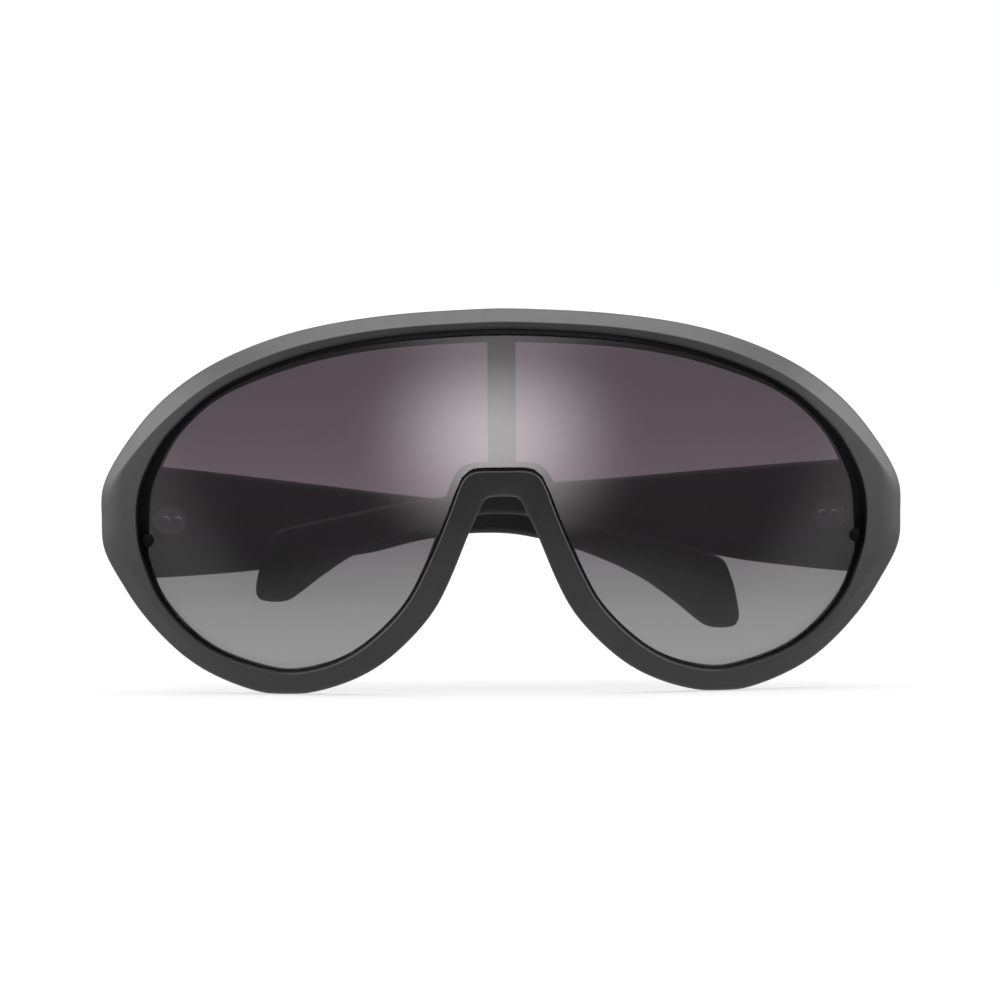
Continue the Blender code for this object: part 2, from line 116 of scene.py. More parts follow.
class Finish:
    """A node tree that colours a surface, a lamp or the sky."""

    def __init__(self, owner):
        owner.use_nodes = True
        self.tree = owner.node_tree
        self.owner = owner

    def node(self, kind, settings=None, inputs=None, output=0):
        """Adds a node with its settings, then its inputs, and returns one of its outputs."""
        made = self.tree.nodes.new("ShaderNode" + kind)
        for name, value in (settings or {}).items():
            if name == "stops":
                ramp = made.color_ramp.elements
                while len(ramp) < len(value):
                    ramp.new(1.0)
                for stop, (place, tone) in zip(ramp, value):
                    stop.position = place
                    stop.color = (tone, tone, tone, 1.0)
            else:
                setattr(made, name, value)
        self.feed(made, inputs or {})
        return Link(self, made.outputs[output]) if made.outputs else None

    def feed(self, node, inputs):
        """Gives a node's inputs a value each, or a link to another node's output."""
        for name, value in inputs.items():
            if isinstance(value, Link):
                self.tree.links.new(value.socket, node.inputs[name])
            else:
                node.inputs[name].default_value = value

    def smooth(self, value, low, high):
        """0 below low, 1 above high and a smooth step between."""
        ends = {"Value": value, "From Min": low, "From Max": high}
        return self.node("MapRange", {"interpolation_type": "SMOOTHSTEP"}, ends)

    def blend(self, share, one, other):
        """A colour that goes from one to the other as share goes from 0 to 1."""
        ends = {"Factor": share, 6: (*one, 1.0), 7: (*other, 1.0)}
        return self.node("Mix", {"data_type": "RGBA"}, ends, output=2)

    def in_sight(self):
        """1 for a ray from the camera or through glass, 0 for one that only brings light."""
        from_camera = self.node("LightPath", output="Is Camera Ray")
        return from_camera | self.node("LightPath", output="Is Transmission Ray")

    def in_gloss(self):
        """1 for a ray that a gloss mirrors, 0 for the others."""
        return self.node("LightPath", output="Is Glossy Ray")


sky_light = 0.25
room_gloss = 0.80
floor_gloss = 0.14
near_gloss = 0.62
room_reach = (-0.66, -0.44)
floor_reach = (-0.54, -0.31)
floor_half = 40.0
floor_white = (0.80, 0.80, 0.80, 1.0)
floor_glow = 1.12
shadow_share = 0.42
shadow_reach = (0.16, 0.60)
gloss_reach = (0.05, 0.10)
glasses_middle = (0.0, 0.0, 0.035)
overhead_place = (0.0, -0.06, 0.80)
overhead_size = (1.40, 0.90)
overhead_radiance = 2.15
side_place = (0.80, -0.05, 0.26)
side_size = (0.80, 0.60)
side_radiance = 3.0

sky = Finish(bpy.data.worlds.new("sky"))
bpy.context.scene.world = sky.owner
sky.tree.nodes.clear()
sky_direction = sky.node("SeparateXYZ", None, {0: sky.node("TexCoord", output="Generated")}, "Y")
mirrored_sky = sky.smooth(sky_direction, *room_reach) * (1.0 - room_gloss) + room_gloss
sky_strength = sky.in_sight() | (sky.in_gloss() * mirrored_sky) | sky_light
sky_shader = sky.node("Background", None, {"Color": sky_strength})
sky.node("OutputWorld", None, {"Surface": sky_shader})

floor_finish = Finish(bpy.data.materials.new("floor_white"))
floor_finish.tree.nodes.clear()
floor_place = floor_finish.node("TexCoord", output="Object")
floor_distance = floor_finish.node("VectorMath", {"operation": "LENGTH"}, {0: floor_place}, "Value")
floor_depth = floor_finish.node("SeparateXYZ", None, {0: floor_place}, "Y")
near_share = 1.0 - floor_finish.smooth(floor_distance, *shadow_reach)
seen_share = floor_finish.in_sight() * (1.0 - near_share * shadow_share)
white_share = seen_share | floor_finish.in_gloss()
dark_share = 1.0 - floor_finish.smooth(floor_depth / floor_distance, *floor_reach)
dark_share = dark_share * floor_finish.smooth(floor_distance, *gloss_reach)
mirrored_floor = dark_share * (floor_gloss - near_gloss) + near_gloss
floor_strength = floor_finish.in_sight() * floor_glow | mirrored_floor
matt = floor_finish.node("BsdfDiffuse", None, {"Color": floor_white})
glow = floor_finish.node("Emission", None, {"Color": floor_strength})
floor_shader = floor_finish.node("MixShader", None, {0: white_share, 1: matt, 2: glow})
floor_finish.node("OutputMaterial", None, {"Surface": floor_shader})

floor_shape = bmesh.new()
bmesh.ops.create_grid(floor_shape, x_segments=1, y_segments=1, size=floor_half)
floor_mesh = bpy.data.meshes.new("floor")
floor_shape.to_mesh(floor_mesh)
floor_shape.free()
floor_mesh.materials.append(floor_finish.owner)
floor = bpy.data.objects.new("floor", floor_mesh)
bpy.context.scene.collection.objects.link(floor)


def hang_lamp(name, place, towards, size, radiance):
    """A soft box of the given size and brightness that faces a point. The camera doesn't see it."""
    data = bpy.data.lights.new(name, "AREA")
    data.shape = "RECTANGLE"
    data.size, data.size_y = size
    data.energy = radiance * math.pi * data.size * data.size_y
    lamp = bpy.data.objects.new(name, data)
    lamp.location = place
    lamp.rotation_euler = (Vector(towards) - Vector(place)).to_track_quat("-Z", "Y").to_euler()
    lamp.visible_camera = False
    bpy.context.scene.collection.objects.link(lamp)
    return lamp


hang_lamp("overhead_lamp", overhead_place, glasses_middle, overhead_size, overhead_radiance)
for side in (-1, 1):
    place = (side * side_place[0], *side_place[1:])
    hang_lamp("side_lamp", place, glasses_middle, side_size, side_radiance)

# Front
# One thick moulded ring of matt black nylon holds the lens. A bevel runs round its top and
# sides, a lip behind the opening carries the lens, and its two end pieces take the hinges.
half_width = 0.075
front_height = 0.072
datum_y = -0.0263
wrap_radius = 0.132
upright_radius = 0.180
upright_centre = 0.038
face_tilt = math.radians(8)
bevel_drop = 0.0026
widest_gap = 0.0024
widest_lip = 0.0029
lug_depth = 0.0148
rim_depth = 0.0056
back_inset = 0.0012
back_share = 0.84
lip_front = 0.0039
lip_back = 0.0060
lip_step = 0.0003
hinge_x = 0.0674
hinge_z = 0.0322
hinge_depth = 0.0150
joint_gap = 0.00015
softest_crease = 0.0024
bevel_round = 0.0006
bevel_round_share = 0.2
back_round = 0.0006
step_round = 0.0001
lip_round = 0.0002
inner_round = 0.0004
foot_round = 0.0003
rim_steps = 6
rim_pull_share = 0.125
corner_points = 5
longest_cut_share = 0.49
shortest_side = 1e-9
weld = 1e-7
sharp_angle = math.radians(38)
frame_black = (0.012, 0.0124, 0.0124)
frame_roughness = 0.42
frame_sheen = 0.75
cloud_reach = (0.3, 0.7)
dark_cloud_share = 0.80
light_cloud_share = 1.22
rubbed_dullness = 0.14
grain_dullness = 0.10
grain_strength = 0.22
grain_height = 0.00003

# Each noise's scale, detail and roughness
cloud_noise = (90.0, 4.0, 0.6)
rubbed_noise = (260.0, 5.0, 0.7)
grain_noise = (5200.0, 2.0, 0.5)

# Outer edge, inner edge, crease, bevel, gap, lip and depth, as shares of the sizes above, and
# how soft the crease is, from the top's middle round to the nose
rim_shares = (
    (0.0000, 0.9980, 0.0000, 0.9460, 0.655, 1.000, 0.400, 0.845, 0.419, 0.06),
    (0.0982, 0.9941, 0.0965, 0.9426, 0.655, 1.000, 0.400, 0.845, 0.419, 0.06),
    (0.1966, 0.9891, 0.1919, 0.9371, 0.650, 1.000, 0.400, 0.830, 0.419, 0.06),
    (0.2951, 0.9800, 0.2874, 0.9268, 0.635, 1.000, 0.380, 0.770, 0.419, 0.06),
    (0.3940, 0.9658, 0.3806, 0.9109, 0.620, 1.000, 0.320, 0.720, 0.419, 0.06),
    (0.4933, 0.9450, 0.4795, 0.8868, 0.610, 1.000, 0.300, 0.680, 0.419, 0.06),
    (0.5932, 0.9139, 0.5696, 0.8557, 0.600, 1.000, 0.290, 0.638, 0.419, 0.06),
    (0.6938, 0.8696, 0.6617, 0.8155, 0.610, 1.000, 0.290, 0.552, 0.426, 0.06),
    (0.7764, 0.8191, 0.7357, 0.7682, 0.610, 1.000, 0.300, 0.500, 0.432, 0.08),
    (0.8467, 0.7610, 0.7940, 0.7132, 0.570, 0.962, 0.380, 0.517, 0.446, 0.10),
    (0.8983, 0.7045, 0.8391, 0.6644, 0.510, 0.885, 0.604, 0.672, 0.570, 0.14),
    (0.9476, 0.6360, 0.8772, 0.5980, 0.370, 0.731, 0.792, 0.828, 0.800, 0.16),
    (0.9855, 0.5709, 0.8982, 0.5449, 0.260, 0.580, 0.896, 0.914, 0.960, 0.40),
    (1.0030, 0.5170, 0.9069, 0.5016, 0.300, 0.560, 0.979, 0.983, 1.000, 1.00),
    (1.0020, 0.4585, 0.9101, 0.4569, 0.320, 0.560, 1.000, 1.000, 1.000, 1.00),
    (1.0030, 0.3960, 0.9073, 0.4067, 0.300, 0.540, 0.875, 0.931, 0.986, 1.00),
    (0.9850, 0.3430, 0.9000, 0.3621, 0.340, 0.538, 0.560, 0.640, 0.820, 0.50),
    (0.9490, 0.2812, 0.8836, 0.3148, 0.500, 0.654, 0.340, 0.370, 0.642, 0.25),
    (0.9022, 0.2058, 0.8555, 0.2412, 0.640, 0.654, 0.290, 0.320, 0.500, 0.20),
    (0.8019, 0.0977, 0.7687, 0.1411, 0.740, 0.577, 0.290, 0.320, 0.419, 0.30),
    (0.7003, 0.0371, 0.6773, 0.0900, 0.800, 0.462, 0.260, 0.290, 0.392, 0.50),
    (0.5990, 0.0020, 0.5860, 0.0640, 0.800, 0.346, 0.200, 0.240, 0.378, 0.80),
    (0.5425, -0.0035, 0.5378, 0.0573, 0.800, 0.308, 0.180, 0.220, 0.378, 0.90),
    (0.4860, 0.0025, 0.4883, 0.0611, 0.800, 0.308, 0.180, 0.240, 0.378, 0.90),
    (0.3976, 0.0282, 0.4108, 0.0842, 0.800, 0.269, 0.150, 0.200, 0.378, 0.80),
    (0.2974, 0.0813, 0.3308, 0.1344, 0.820, 0.231, 0.150, 0.180, 0.405, 0.60),
    (0.1977, 0.1819, 0.2458, 0.2230, 0.840, 0.231, 0.140, 0.170, 0.514, 0.50),
    (0.1480, 0.2605, 0.2034, 0.2975, 0.860, 0.231, 0.146, 0.200, 0.622, 0.45),
    (0.1068, 0.3592, 0.1650, 0.3826, 0.860, 0.231, 0.146, 0.240, 0.676, 0.40),
    (0.0832, 0.4214, 0.1407, 0.4433, 0.860, 0.231, 0.146, 0.400, 0.662, 0.40),
    (0.0610, 0.4690, 0.1180, 0.5037, 0.860, 0.231, 0.146, 0.620, 0.581, 0.40),
    (0.0445, 0.5065, 0.0930, 0.5690, 0.860, 0.231, 0.146, 0.621, 0.486, 0.40),
    (0.0290, 0.5150, 0.0520, 0.5818, 0.860, 0.231, 0.146, 0.552, 0.426, 0.40),
    (0.0000, 0.5165, 0.0000, 0.5812, 0.860, 0.231, 0.146, 0.552, 0.419, 0.40),
)


def face_depth(x, z):
    """How far back the front's face lies: its wrap, its tilt and its upright curve."""
    wrap = wrap_radius - np.sqrt(wrap_radius**2 - x**2)
    upright = (z - upright_centre) ** 2 / (2 * upright_radius)
    return datum_y + wrap + (front_height - z) * math.tan(face_tilt) + upright


def on_face(x, z, depth):
    """Points that lie the given depth behind the front's face."""
    return np.stack(np.broadcast_arrays(x, face_depth(x, z) + depth, z), -1)


def round_corners(outlines, cuts, points=corner_points):
    """Closed outlines whose corners are cut back by given lengths, up to half a side, and curved."""
    cut_points = []
    for neighbour in (1, -1):
        side_way = np.roll(outlines, neighbour, -2) - outlines
        length = np.maximum(np.linalg.norm(side_way, axis=-1, keepdims=True), shortest_side)
        cut_points.append(outlines + side_way * np.minimum(cuts[..., None] / length, longest_cut_share))
    start, end = cut_points
    curve = [
        (1 - t) ** 2 * start + 2 * t * (1 - t) * outlines + t**2 * end for t in np.linspace(0, 1, points)
    ]
    return np.stack(curve, -2).reshape(*outlines.shape[:-2], -1, 3)


def skin(sections, closed):
    """A grid bent into the skin over equal closed sections, which closes on itself or is capped."""
    sections = np.asarray(sections, float)
    along, around = sections.shape[:2]
    shape = bmesh.new()
    rows = along if closed else along - 1
    bmesh.ops.create_grid(shape, x_segments=rows, y_segments=around, size=1.0)
    for vertex in shape.verts:
        row = round((vertex.co.x + 1) / 2 * rows)
        column = round((vertex.co.y + 1) / 2 * around)
        vertex.co = sections[row % along, column % around]
    bmesh.ops.remove_doubles(shape, verts=shape.verts, dist=weld)
    if not closed:
        bmesh.ops.holes_fill(shape, edges=[edge for edge in shape.edges if edge.is_boundary])
    bmesh.ops.recalc_face_normals(shape, faces=shape.faces)
    return shape


def make_piece(name, shape, finish=None):
    """An object from a bmesh, shaded smooth but for its sharp edges."""
    mesh = bpy.data.meshes.new(name)
    shape.to_mesh(mesh)
    shape.free()
    mesh.polygons.foreach_set("use_smooth", [True] * len(mesh.polygons))
    mesh.set_sharp_from_angle(angle=sharp_angle)
    if finish:
        mesh.materials.append(finish.owner)
    piece = bpy.data.objects.new(name, mesh)
    bpy.context.scene.collection.objects.link(piece)
    return piece


def cut_away(piece, tools):
    """Takes closed shapes out of a piece for good."""
    for tool in tools:
        cutter = make_piece("cutter", tool)
        cut = piece.modifiers.new("cut", "BOOLEAN")
        cut.operation = "DIFFERENCE"
        cut.solver = "EXACT"
        cut.object = cutter
        bpy.context.view_layer.update()
        graph = bpy.context.evaluated_depsgraph_get()
        mesh = bpy.data.meshes.new_from_object(piece.evaluated_get(graph))
        piece.modifiers.remove(cut)
        piece.data = mesh
        bpy.data.objects.remove(cutter)
    piece.data.polygons.foreach_set("use_smooth", [True] * len(piece.data.polygons))
    piece.data.set_sharp_from_angle(angle=sharp_angle)


def block(low, high, corner=0.0, corner_sides=5):
    """A box from its low to its high corner, whose four edges along X can be round."""
    shape = bmesh.new()
    low, high = Vector(low), Vector(high)
    bmesh.ops.create_cube(shape, size=1.0)
    bmesh.ops.scale(shape, vec=high - low, verts=shape.verts)
    bmesh.ops.translate(shape, vec=(low + high) / 2, verts=shape.verts)
    if corner:
        edges = [edge for edge in shape.edges if abs(edge.verts[0].co.x - edge.verts[1].co.x) > weld]
        bmesh.ops.bevel(
            shape, geom=edges, offset=corner, segments=corner_sides, profile=0.5, affect="EDGES", material=-1
        )
    return shape


def placed(shape, matrix):
    """The shape moved by a matrix, with its faces still outwards where the matrix mirrors."""
    bmesh.ops.transform(shape, matrix=matrix, verts=shape.verts)
    bmesh.ops.recalc_face_normals(shape, faces=shape.faces)
    return shape


def even_normals(piece):
    """Lets wide faces set the shading, so that small rounds don't shade them."""
    weigh = piece.modifiers.new("even_normals", "WEIGHTED_NORMAL")
    weigh.keep_sharp = True


def hand_over(piece, body, node):
    """Hangs the piece on the body it moves with, and hides the imported solid it stands for."""
    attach(piece, body)
    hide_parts(node)


def moulded_nylon(name, colour, roughness, sheen):
    """Matt black nylon with the fine grain of a blasted mould, faint flow clouds and rubbed patches."""
    finish = Finish(bpy.data.materials.new(name))
    place = finish.node("TexCoord", output="Object")
    clouds, rubbed, grain = (
        finish.node(
            "TexNoise", None, {"Vector": place, "Scale": scale, "Detail": detail, "Roughness": coarse}
        )
        for scale, detail, coarse in (cloud_noise, rubbed_noise, grain_noise)
    )
    dark = tuple(tone * dark_cloud_share for tone in colour)
    light = tuple(tone * light_cloud_share for tone in colour)
    bumps = {"Height": grain, "Strength": grain_strength, "Distance": grain_height}
    finish.feed(
        finish.tree.nodes["Principled BSDF"],
        {
            "Base Color": finish.blend(finish.smooth(clouds, *cloud_reach), dark, light),
            "Roughness": roughness + (rubbed - 0.5) * rubbed_dullness + (grain - 0.5) * grain_dullness,
            "Specular IOR Level": sheen,
            "Normal": finish.node("Bump", None, bumps, "Normal"),
        },
    )
    return finish


def spline_round(rows, steps):
    """Closed rows of numbers as a smooth cubic B-spline, pulled so that it passes near them."""
    rows = rows - (np.roll(rows, 1, 0) - 2 * rows + np.roll(rows, -1, 0)) * rim_pull_share
    before, after, later = np.roll(rows, 1, 0), np.roll(rows, -1, 0), np.roll(rows, -2, 0)
    out = []
    for t in np.arange(steps) / steps:
        near = (1 - t) ** 3 * before + (3 * t**3 - 6 * t**2 + 4) * rows
        far = (3 * t * (1 + t - t**2) + 1) * after + t**3 * later
        out.append((near + far) / 6)
    return np.stack(out, 1).reshape(-1, rows.shape[1])


right_rows = np.array(rim_shares)
mirror_signs = np.ones(right_rows.shape[1])
mirror_signs[[0, 2]] = -1
left_rows = right_rows[-2:0:-1] * mirror_signs
stations = spline_round(np.concatenate([right_rows, left_rows]), rim_steps)
sizes = np.array((half_width, front_height))
outer = stations[:, 0:2] * sizes
# Each lobe ends in a soft foot just above the floor
outer[:, 1] = (outer[:, 1] + np.hypot(outer[:, 1], foot_round)) / 2
inner = stations[:, 2:4] * sizes
inward = (inner - outer) / np.linalg.norm(inner - outer, axis=1)[:, None]
crease = outer + stations[:, 4:5] * (inner - outer)
lens_edge = inner + inward * stations[:, 6:7] * widest_gap
lip_edge = inner + inward * stations[:, 7:8] * widest_lip
depth = stations[:, 8] * lug_depth
deep_share = np.clip((depth - rim_depth - lip_step * 2) / (lug_depth - rim_depth), 0, 1)[:, None]
outer_back = outer + inward * deep_share * back_inset
inner_back = outer + (inner - outer) * back_share
lip_step_depth = np.minimum(lip_back, depth - lip_step)
nothing = np.zeros(len(stations))
softness = stations[:, 9] * softest_crease
hinge_y = face_depth(hinge_x, hinge_z) + hinge_depth
joint_face = hinge_y - joint_gap

# The front's nine edge lines, how deep each lies and how far its corner is cut back
edge_lines = (
    (crease, nothing, softness),
    (outer, stations[:, 5] * bevel_drop, bevel_round + softness * bevel_round_share),
    (outer_back, depth, nothing + back_round),
    (inner_back, depth, nothing + back_round),
    (inner_back, lip_step_depth, nothing + step_round),
    (lip_edge, lip_step_depth, nothing + lip_round),
    (lip_edge, nothing + lip_front, nothing + lip_round),
    (inner, nothing + lip_front, nothing + lip_round),
    (inner, nothing, nothing + inner_round),
)
ring = np.stack([on_face(line[:, 0], line[:, 1], back) for line, back, _ in edge_lines], 1)
ring[:, 2:4, 1] = np.minimum(ring[:, 2:4, 1], joint_face)
ring = round_corners(ring, np.stack([cut for _, _, cut in edge_lines], 1))

frame_finish = moulded_nylon("matt_black_nylon", frame_black, frame_roughness, frame_sheen)
front = make_piece("front_moulding", skin(ring, True), frame_finish)

# The end pieces are hollowed for the hinges: a seat for the leaf and room for its knuckles
left_lean = math.radians(-3.1)
folds = {-1: math.radians(86.5), 1: math.radians(91)}
leaf_outer = 0.0023
leaf_half_height = 0.0025
leaf_corner = 0.0008
front_leaf_length = 0.0074
temple_leaf_length = 0.0080
recess_gap = 0.0003
strap_inner = 0.0006
face_offset = 0.0020
pocket_reach = 0.0078
pocket_half_height = 0.0085
overrun = 0.025


def hinge_place(side, folded=False):
    """Takes what is drawn outwards, backwards and upwards of a hinge to the hinge on that side."""
    lean = left_lean if side < 0 else 0.0
    axis = Vector((math.sin(lean), 0, math.cos(lean)))
    fold = Matrix.Rotation(folds[side] if folded else 0.0, 4, axis)
    return Matrix.Translation((side * hinge_x, hinge_y, hinge_z)) @ Matrix.Diagonal((side, 1, 1, 1)) @ fold


for side in (-1, 1):
    seat = block(
        (strap_inner, -front_leaf_length - recess_gap, -leaf_half_height - recess_gap),
        (leaf_outer + recess_gap, leaf_half_height, leaf_half_height + recess_gap),
        leaf_corner + recess_gap,
    )
    pocket = block(
        (-overrun, -pocket_reach, -pocket_half_height), (face_offset, overrun, pocket_half_height)
    )
    cut_away(front, [placed(room, hinge_place(side)) for room in (seat, pocket)])
even_normals(front)
hand_over(front, "front", "front_frame")

# Centre post
# A straight flat bar is moulded behind the lens, from the top lip down to the nose bridge.
# It stiffens the one wide opening, and shows through the lens.
post_width = 0.0052
post_edge = 0.0004
post_steps = 24
crown = len(stations) // 2
post_low = (outer[crown, 1] + inner[crown, 1]) / 2
post_high = (inner[0, 1] + lip_edge[0, 1]) / 2
post_levels = np.linspace(post_low, post_high, post_steps)
post_corners = [
    on_face(np.full(post_steps, across * post_width / 2), post_levels, back)
    for across, back in ((-1, lip_front), (1, lip_front), (1, lip_back), (-1, lip_back))
]
post_rings = np.stack(post_corners, 1)
post_rings = round_corners(post_rings, np.full(post_rings.shape[:2], post_edge))
post = make_piece("centre_post", skin(post_rings, False), frame_finish)
even_normals(post)
hand_over(post, "front", "front_frame")

# Lens
# One moulded shield of tinted plastic, two millimetres thick, wraps round both eyes. The tint
# fades from a warm violet smoke at the top to a clear grey at the bottom, on a hard gloss.
lens_front = 0.0016
lens_thickness = 0.0020
lens_end_share = 0.9995
lens_edge_round = 0.0003
widest_trim_share = 0.25
lens_columns = 70
lens_rows = 14
pin_z = 0.0288
pin_radius = 0.0013
pin_gap = 0.0003
notch_front = -0.01
notch_back = 0.02
turned_sides = 40
violet_reach = (0.26, 0.56)
clear_film = (1.0, 0.995, 1.0, 1.0)
violet_film = (1.0, 0.880, 0.962, 1.0)
grey_tint = (0.012, 0.012, 0.013)
violet_tint = (0.018, 0.013, 0.016)
lens_roughness = 0.07
haze_roughness = 0.05
lens_sheen = 0.95
haze_scale = 140.0
haze_detail = 3.0

# Height, as a share of the front's, and how dark the tint is there
tint_shares = (
    (0.10, 0.508),
    (0.21, 0.534),
    (0.27, 0.576),
    (0.42, 0.644),
    (0.56, 0.690),
    (0.66, 0.720),
    (0.82, 0.745),
)

right_edge = lens_edge[: crown + 1]
widest = int(np.argmax(right_edge[:, 0]))
upper, lower = right_edge[: widest + 1], right_edge[widest:][::-1]
lens_reach = right_edge[widest, 0] * lens_end_share
lens_sections = []
for across in lens_reach * np.sin(np.linspace(-math.pi / 2, math.pi / 2, 2 * lens_columns + 1)):
    low = np.interp(abs(across), lower[:, 0], lower[:, 1])
    high = np.interp(abs(across), upper[:, 0], upper[:, 1])
    trim = min(lens_edge_round, (high - low) * widest_trim_share)
    faces = []
    for back, levels in (
        (lens_front, np.linspace(low + trim, high - trim, lens_rows)),
        (lens_front + lens_edge_round, np.array([high])),
        (lens_front + lens_thickness - lens_edge_round, np.array([high])),
        (lens_front + lens_thickness, np.linspace(high - trim, low + trim, lens_rows)),
        (lens_front + lens_thickness - lens_edge_round, np.array([low])),
        (lens_front + lens_edge_round, np.array([low])),
    ):
        faces.append(on_face(np.full(len(levels), across), levels, back))
    lens_sections.append(np.concatenate(faces))

lens_finish = Finish(bpy.data.materials.new("gradient_lens"))
lens_place = lens_finish.node("TexCoord", output="Object")
lens_height = lens_finish.node("SeparateXYZ", None, {0: lens_place}, "Z")
height_share = lens_height / front_height
tint = lens_finish.node("ValToRGB", {"stops": tint_shares}, {"Fac": height_share})
tint_share = lens_finish.node("SeparateColor", None, {0: tint}, "Red")
violet_share = lens_finish.smooth(height_share, *violet_reach)
clear = lens_finish.node("BsdfTransparent", None, {"Color": clear_film})
violet = lens_finish.node("BsdfTransparent", None, {"Color": violet_film})
film = lens_finish.node("MixShader", None, {0: violet_share, 1: clear, 2: violet})
haze_inputs = {"Vector": lens_place, "Scale": haze_scale, "Detail": haze_detail}
haze = lens_finish.node("TexNoise", None, haze_inputs)
lens_gloss = lens_finish.tree.nodes["Principled BSDF"]
lens_finish.feed(
    lens_gloss,
    {
        "Base Color": lens_finish.blend(violet_share, grey_tint, violet_tint),
        "Roughness": lens_roughness + haze * haze_roughness,
        "Specular IOR Level": lens_sheen,
    },
)
gloss = Link(lens_finish, lens_gloss.outputs[0])
lens_surface = lens_finish.node("MixShader", None, {0: tint_share, 1: film, 2: gloss})
lens_finish.feed(lens_finish.tree.nodes["Material Output"], {"Surface": lens_surface})
inner_side = inner[: int(np.argmin(inner[:, 1])) + 1][::-1]
pin_x = np.interp(pin_z, inner_side[:, 1], inner_side[:, 0]) - pin_radius - pin_gap


def turned_shape(profile, sides=turned_sides):
    """A profile of radius and height turned round the Z axis."""
    shape = bmesh.new()
    points = [shape.verts.new((radius, 0.0, height)) for radius, height in profile]
    edges = [shape.edges.new(pair) for pair in zip(points, points[1:])]
    turn = {"cent": (0, 0, 0), "axis": (0, 0, 1), "angle": 2 * math.pi, "steps": sides}
    bmesh.ops.spin(shape, geom=points + edges, use_merge=True, **turn)
    bmesh.ops.remove_doubles(shape, verts=shape.verts, dist=weld)
    bmesh.ops.recalc_face_normals(shape, faces=shape.faces)
    return shape


def through_front(shape, side):
    """A shape turned round Z, stood through the front at the pin, so that it follows the face."""
    for vertex in shape.verts:
        x, z, back = side * pin_x + vertex.co.x, pin_z + vertex.co.y, vertex.co.z
        vertex.co = (x, face_depth(x, z) + back, z)
    bmesh.ops.recalc_face_normals(shape, faces=shape.faces)
    return shape


lens = make_piece("shield_lens_clear", skin(lens_sections, False), lens_finish)
notch_radius = pin_radius + pin_gap
notch_profile = (
    (0.0, notch_front),
    (notch_radius, notch_front),
    (notch_radius, notch_back),
    (0.0, notch_back),
)
cut_away(lens, [through_front(turned_shape(notch_profile), side) for side in (-1, 1)])
hand_over(lens, "front", "shield_lens")

# Lens pins
# A small domed nub of black nylon fills a notch at each end of the lens, and its shank is
# pressed into the lip behind. The two of them keep the lens from turning in the front.
pin_front = 0.0012
pin_back = 0.00375
pin_shank = 0.00055
pin_end = 0.0054
pin_dome = 0.0004
pin_dome_points = 7
# The pins' black is painted darker than the frame's black nylon, as painted shade for the notch they sit in.
pin_black_painted_shade = (0.003, 0.003, 0.0035)
pin_roughness = 0.70
pin_sheen = 0.08

pin_profile = [
    (pin_radius * math.sin(turn), pin_front + pin_dome * (1 - math.cos(turn)))
    for turn in np.linspace(0, math.pi / 2, pin_dome_points)
] + [(pin_radius, pin_back), (pin_shank, pin_back), (pin_shank, pin_end), (0.0, pin_end)]
# The pin nylon is black with painted shade: its colour is darker than the frame's to stand for the shade in
# the notch.
pin_finish = moulded_nylon("black_pin_nylon_painted_shade", pin_black_painted_shade, pin_roughness, pin_sheen)
for side, label in ((-1, "left"), (1, "right")):
    pin = make_piece("pin_" + label, through_front(turned_shape(pin_profile), side), pin_finish)
    hand_over(pin, "front", "lens_pin_" + label)

# Hinge leaves
# A stamped steel plate lies in a seat in each end piece and carries two knuckles. A round-ended
# one lies in each temple's root and carries the knuckle between them.
leaf_edge = 0.00009
leaf_edge_segments = 2
leaf_edge_angle = math.radians(35)
flat_angle = math.radians(1.5)
copy_weld = 1e-6
leaf_tone = 0.58
leaf_roughness = 0.36
line_stretch = (900.0, 900.0, 9000.0)
line_detail = 3.0
line_strength = 0.25
line_height = 0.00001
line_dullness = 0.2
patch_scale = 700.0
patch_detail = 4.0
patch_reach = (0.35, 0.65)
patch_dullness = 0.1
bright_share = 1.08
dull_share = 0.82
cool_share = 1.01


def brushed_steel(name, tone, roughness):
    """Satin steel with fine lines along its length and worn, duller patches."""
    finish = Finish(bpy.data.materials.new(name))
    place = finish.node("TexCoord", output="Object")
    stretched = finish.node("Mapping", None, {"Vector": place, "Scale": line_stretch})
    lines = finish.node("TexNoise", None, {"Vector": stretched, "Scale": 1.0, "Detail": line_detail})
    patch_inputs = {"Vector": place, "Scale": patch_scale, "Detail": patch_detail}
    patches = finish.node("TexNoise", None, patch_inputs)
    bumps = {"Height": lines, "Strength": line_strength, "Distance": line_height}
    dull, bright = (
        (share * tone, share * tone, share * tone * cool_share) for share in (dull_share, bright_share)
    )
    finish.feed(
        finish.tree.nodes["Principled BSDF"],
        {
            "Base Color": finish.blend(finish.smooth(patches, *patch_reach), dull, bright),
            "Metallic": 1.0,
            "Roughness": roughness + (lines - 0.5) * line_dullness + (patches - 0.5) * patch_dullness,
            "Normal": finish.node("Bump", None, bumps, "Normal"),
        },
    )
    return finish


def eased_copy(name, node, finish):
    """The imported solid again, with its triangles joined into faces and its edges eased."""
    shape = bmesh.new()
    shape.from_mesh(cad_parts[node].data)
    bmesh.ops.remove_doubles(shape, verts=shape.verts, dist=copy_weld)
    bmesh.ops.dissolve_limit(shape, angle_limit=flat_angle, verts=shape.verts, edges=shape.edges)
    edges = [edge for edge in shape.edges if edge.is_manifold and edge.calc_face_angle() > leaf_edge_angle]
    bmesh.ops.bevel(
        shape, geom=edges, offset=leaf_edge, segments=leaf_edge_segments, profile=0.5, affect="EDGES",
        material=-1, clamp_overlap=True,
    )
    bmesh.ops.recalc_face_normals(shape, faces=shape.faces)
    return make_piece(name, shape, finish)


leaf_finish = brushed_steel("brushed_leaf_steel", leaf_tone, leaf_roughness)
for label in ("left", "right"):
    for node, body in (("front_leaf_", "front"), ("temple_leaf_", label + "_temple")):
        leaf = eased_copy("hinge_" + node + label, node + label, leaf_finish)
        even_normals(leaf)
        hand_over(leaf, body, node + label)

